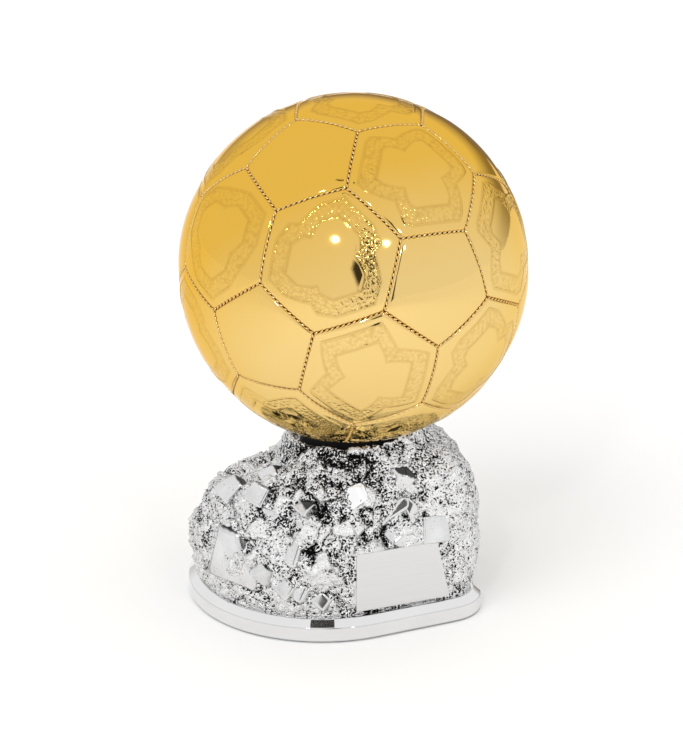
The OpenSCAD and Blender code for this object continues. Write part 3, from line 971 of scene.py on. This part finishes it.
# %% Crystals
def cube_grid(count):
    """A closed cube from -1 to 1 as six welded grids of count by count points."""
    ticks = np.linspace(-1, 1, count)
    u, v = np.meshgrid(ticks, ticks, indexing="ij")
    sides = []
    for axis in range(3):
        for sign in (-1, 1):
            side = np.empty((count, count, 3))
            side[..., axis] = sign
            side[..., (axis + 1) % 3] = u * sign
            side[..., (axis + 2) % 3] = v
            sides.append(side.reshape(-1, 3))
    points = np.concatenate(sides)
    faces = np.concatenate([grid_faces(count, count)[:, ::-1] + k * count ** 2 for k in range(6)])
    welded, where = np.unique(points.round(6), axis=0, return_inverse=True)
    return welded, where.ravel()[faces]


def crystal_points(ways, size, turn, taper, cuts, crisp):
    """A crystal's surface along each way: r = (sum of (n . way / level)^p)^(-1/p) over its
    faces n that look that way, with p = crisp, and how much each point looks up.

    Its faces are a box's six, with the four sides tilted by taper, and the cuts."""
    tilts = [(1, 0, taper), (-1, 0, taper), (0, 1, taper), (0, -1, taper), (0, 0, 1), (0, 0, -1)]
    box = unit(np.array(tilts, float)) @ turn_matrix(turn).T
    levels = np.repeat(np.array(size) / 2, 2)
    normals = np.concatenate([box, *[unit(np.array([way], float)) for way, _ in cuts]])
    levels = np.concatenate([levels, [level for _, level in cuts]])
    weight = (np.maximum(0, ways @ normals.T) / levels) ** crisp
    looks = unit(weight @ normals)
    surface = ways * weight.sum(axis=1)[:, None] ** (-1 / crisp)
    return surface, looks @ unit(np.array((0.35, 0.1, 0.9)))


CRYSTALS = [  # place, size, turn in degrees, taper, flat cuts (direction, level), crispness
    ((-76, -19, 47), (34, 32, 31), (6, -8, 34), 0.1, [((-5, -3, 1), 15.5), ((-1, -4, 2), 15)], 40),
    ((-73, -20, 64), (16, 14, 9), (20, 20, 15), 0.1, [((-1, -1, 2), 5)], 40),
    ((-75, -43, 40), (11, 11, 11), (20, 30, 15), 0.1, [((-1, -1, 0), 5)], 12),
    ((-62, -50, 34), (12, 12, 13), (35, 10, 40), 0.2, [((-1, -2, 1), 5.5)], 12),
    ((-56, -56, 31), (10, 10, 10), (15, 10, 20), 0.2, [((-1, -2, 1), 4.5)], 9),
    ((-44, -62, 25), (12, 9, 9), (35, 20, 40), 0.2, [((-1, -3, 1), 4)], 8),
    ((-46, -61, 44), (14, 11, 11), (10, 30, 10), 0.2, [((-1, -3, 1), 5)], 9),
    ((-79, -4, 79), (13, 13, 15), (25, 35, 20), 0.2, [((-1, -1, 1), 6.5)], 16),
    ((-71, -27, 84), (12, 12, 12), (20, 25, 40), 0.1, [((-1, -2, 1), 6)], 40),
    ((-57, -15, 89), (11, 11, 12), (30, 20, 10), 0.3, [], 14),
    ((-63, -39, 78), (7, 8, 18), (50, 15, 30), 0.2, [((-1, -2, 1), 4.5)], 24),
    ((-49, -47, 80), (11, 11, 10), (15, 40, 25), 0.4, [((0, -1, 3), 4.5)], 40),
    ((-50, -50, 73), (13, 10, 7), (40, 30, 10), 0.1, [((-1, -2, 1), 4.5)], 24),
    ((-35, -33, 96), (8, 8, 9), (30, 40, 0), 0.2, [((-1, -2, 1), 4.5)], 10),
    ((-57, -51, 58), (10, 11, 21), (10, 12, 20), 0.25, [((-1, -2, 1), 5.5)], 14),
    ((-18, -53, 85), (13, 13, 14), (45, 20, 35), 0.1, [((-1, -2, 2), 7), ((1, -2, 1), 7)], 8),
    ((11, -50, 90), (16, 17, 16), (30, 10, 25), 0.1, [((0, -1, 3), 8), ((-1, -3, 0), 8)], 40),
    ((4, -58, 75), (9, 10, 22), (40, 25, 15), 0.3, [((-1, -3, 1), 5)], 40),
    ((12, -60, 74), (8, 9, 18), (10, -25, 15), 0.2, [((-1, -3, 1), 5)], 40),
    ((5, -60, 60), (17, 15, 11), (10, 40, 4), 0.3, [((-1, -4, 3), 6.5)], 24),
    ((26, -60, 61), (17, 17, 17), (-8, 2, 2), 0.05, [], 40),
]
PAINTED_HIGHLIGHT_CRYSTAL = 15          # the number of the round crystal painted near white as a highlight
BACK_CRYSTALS = [  # direction in degrees, share of the way up, size, sunk by
    (104, 0.36, 16, 3), (100, 0.60, 11, 2), (78, 0.38, 12, 2), (62, 0.58, 14, 3),
    (140, 0.20, 12, 3), (40, 0.48, 10, 2), (95, 0.20, 13, 3),
]


def back_crystal(k, degrees, share, size, sunk):
    """A row like those of CRYSTALS, for a crystal that sits on the rock's smooth base."""
    direction = math.radians(degrees)
    foot = rock_base(np.array([direction]), np.array([share]))[0]
    place = foot - sunk * np.array([math.cos(direction), math.sin(direction), 0])
    facet = (math.cos(direction + 0.3), math.sin(direction + 0.3), 0.4)
    return (place, (size, size * 0.9, size * 1.2), (20 + 9 * k, 30 - 7 * k, 50 * k), 0.15,
            [(facet, size * 0.42)], 12 if k % 3 else 40)


crystals = CRYSTALS + [back_crystal(k, *row) for k, row in enumerate(BACK_CRYSTALS)]
cube, cube_faces = cube_grid(17)
ways = unit(cube)
for k, (place, size, turn, taper, cuts, crisp) in enumerate(crystals):
    points, upward = crystal_points(ways, size, turn, taper, cuts, crisp)
    # Faces that look up get painted shade; one crystal gets -1, a painted highlight.
    painted_shading = smoothstep(0.6, 0.8, upward) if k != PAINTED_HIGHLIGHT_CRYSTAL else np.full(len(points), -1.0)
    make_piece(f"crystal_{k:02d}", points + place, [cube_faces], crystal_metal,
               values={"painted_shading": painted_shading})
print("crystals:", len(crystals))

# %% [markdown]
# ## Studio
# A mirror shows its surroundings, so the studio decides the picture. The sky is pale, with a
# darker zone behind on the right. In front stand a dark bent strip and an unlit lamp, whose
# reflections give the gold its one deep patch and the plinth's bevel a small bar. A broad
# sun draws the soft shadow, and two small lamps draw the round highlights.

# %% World
ROOM_PALE = (0.98, 0.98, 0.98)
ROOM_DIM = (0.34, 0.31, 0.27)
ROOM_DARK = (0.05, 0.045, 0.04)


def dim_zone(x, y, z):
    """1 behind on the right, near the horizon."""
    behind_right = (x * 0.64 + y * 0.77).between(0.55, 0.95)
    return behind_right * (1 - (z - 0.03).math("ABSOLUTE").between(0.05, 0.30))


def dark_strip(x, y, z):
    """1 inside a bent upright strip in front, as if somebody leans in beside the camera."""
    height = (z - 0.30).math("ABSOLUTE")
    aside = (x * 0.963 - y * 0.271 - height * 0.40 + 0.02).math("ABSOLUTE").between(0.07, 0.12)
    behind = 1 - (y * -1).between(0.3, 0.4)
    return 1 - aside.math("MAXIMUM", height.between(0.30, 0.34)).math("MAXIMUM", behind)


def lamp_bar(x, y, z, azimuth=-21.6, elevation=73.6):
    """1 inside a narrow bar that hangs high in front, for the plinth's bevel to mirror. across
    and above measure a direction from the bar's middle, and the bar is bowed."""
    a, e = math.radians(azimuth), math.radians(elevation)
    across = x * math.cos(a) + y * math.sin(a)
    above = x * (-math.sin(e) * math.sin(a)) + y * (math.sin(e) * math.cos(a)) + z * math.cos(e)
    bowed = (above - across * across * 0.62).math("ABSOLUTE").between(0.011, 0.014)
    return 1 - across.math("ABSOLUTE").between(0.105, 0.110).math("MAXIMUM", bowed)


def studio_world():
    """The sky: pale, dim in one zone, and dark inside the strip and the bar."""
    world = bpy.data.worlds.new("studio")
    bpy.context.scene.world = world
    world.use_nodes = True
    tree = world.node_tree
    way = Socket(tree, None).node("ShaderNodeTexCoord", output="Generated")
    x, y, z = (way.node("ShaderNodeSeparateXYZ", None, [way], output=k) for k in range(3))
    colour = dim_zone(x, y, z).blend(ROOM_PALE, ROOM_DIM)
    dark = dark_strip(x, y, z).math("MAXIMUM", lamp_bar(x, y, z))
    colour = dark.blend(colour, ROOM_DARK)
    background = tree.nodes["Background"]
    tree.links.new(colour.output, background.inputs["Color"])
    background.inputs["Strength"].default_value = 1.0


studio_world()
print("sky nodes:", len(bpy.context.scene.world.node_tree.nodes))

# %% [markdown]
# The floor and a dim card behind are meshes that belong to the studio, so they ride on
# nothing. Everything that shines or looks is placed by two angles about the trophy.

# %% Floor and lamps
def way_at(azimuth, elevation):
    """The unit vector at two angles in degrees. Azimuth 0 is in front, on the -Y side, and 90
    on the +X side."""
    a, e = math.radians(azimuth), math.radians(elevation)
    return np.array([math.sin(a) * math.cos(e), -math.cos(a) * math.cos(e), math.sin(e)])


def placed(name, data, way, place=(0, 0, 0)):
    """A lamp or camera at place that looks back against way."""
    made = bpy.data.objects.new(name, data)
    bpy.context.scene.collection.objects.link(made)
    made.location = place
    made.rotation_euler = Vector(way).to_track_quat("Z", "Y").to_euler()
    return made


def stage_card(name, corners_m, finish):
    """A flat four-sided mesh of the studio, from its corners in metres."""
    card = make_piece(name, np.array(corners_m) / MM, [np.array([[0, 1, 2, 3]])],
                      finish.material, body=None)
    return card


def floor_plane(half=12.0):
    """A pale plain floor under the felt."""
    finish = Finish("white_floor", Metallic=0.0, Roughness=0.6, Specular_IOR_Level=0.1)
    finish.set("Base Color", (0.94, 0.94, 0.94))
    stage_card("floor", [(-half, -half, 0), (half, -half, 0), (half, half, 0), (-half, half, 0)],
               finish)


def dim_card(azimuth, distance, width, height):
    """A dim card that stands behind, seen only by mirrors: it draws their far edges."""
    finish = Finish("dim_card", Metallic=0.0, Emission_Strength=1.0)
    finish.set("Base Color", (0.02, 0.016, 0.012))
    finish.set("Emission Color", (0.22, 0.20, 0.17))
    middle = way_at(azimuth, 0)[:2] * distance
    along = way_at(azimuth + 90, 0)[:2] * width / 2
    card = stage_card("flag", [(*(middle + along * k), z) for k, z in (
        (-1, 0), (1, 0), (1, height), (-1, height))], finish)
    card.visible_camera = card.visible_diffuse = card.visible_shadow = False


def lamp(name, azimuth, elevation, distance, size, power):
    """A round area lamp that faces the ball, with its distance and size in metres."""
    way = way_at(azimuth, elevation)
    data = bpy.data.lights.new(name, "AREA")
    data.shape = "DISK"
    data.size = size
    data.energy = power
    placed(name, data, way, way * distance + (0, 0, BALL_Z * MM)).visible_camera = False


def sun(azimuth, elevation, spread, strength):
    """A broad soft sun for an even floor and a soft shadow, left out of reflections."""
    data = bpy.data.lights.new("soft_sun", "SUN")
    data.angle = math.radians(spread)
    data.energy = strength
    placed("soft_sun", data, way_at(azimuth, elevation)).visible_glossy = False


floor_plane()
sun(-62, 48, 34, 0.62)
dim_card(142, 0.9, 0.30, 0.36)
lamp("highlight", -36, 36, 1.6, 0.10, 2)
lamp("sparkle", 6, 32, 1.6, 0.10, 1.2)
print("lamps:", len(bpy.data.lights))

# %% [markdown]
# The camera stands a little to the left and above, far off with a long lens, so that the
# ball keeps its round outline and the base doesn't look drawn out.

# %% Camera
def camera(azimuth=-22.0, pitch=20.5, distance=1.540, aim=(-0.0077, 0.0, 0.148), lens=125.2):
    """A camera at the viewing angle, its aim in metres and its lens on a 36 mm sensor."""
    data = bpy.data.cameras.new("camera")
    data.lens = lens
    data.sensor_width = 36.0
    way = way_at(azimuth, pitch)
    bpy.context.scene.camera = placed("camera", data, way, way * distance + aim)


camera()
bpy.context.scene.view_settings.view_transform = "Standard"
print("camera at", [round(v, 3) for v in bpy.context.scene.camera.location])
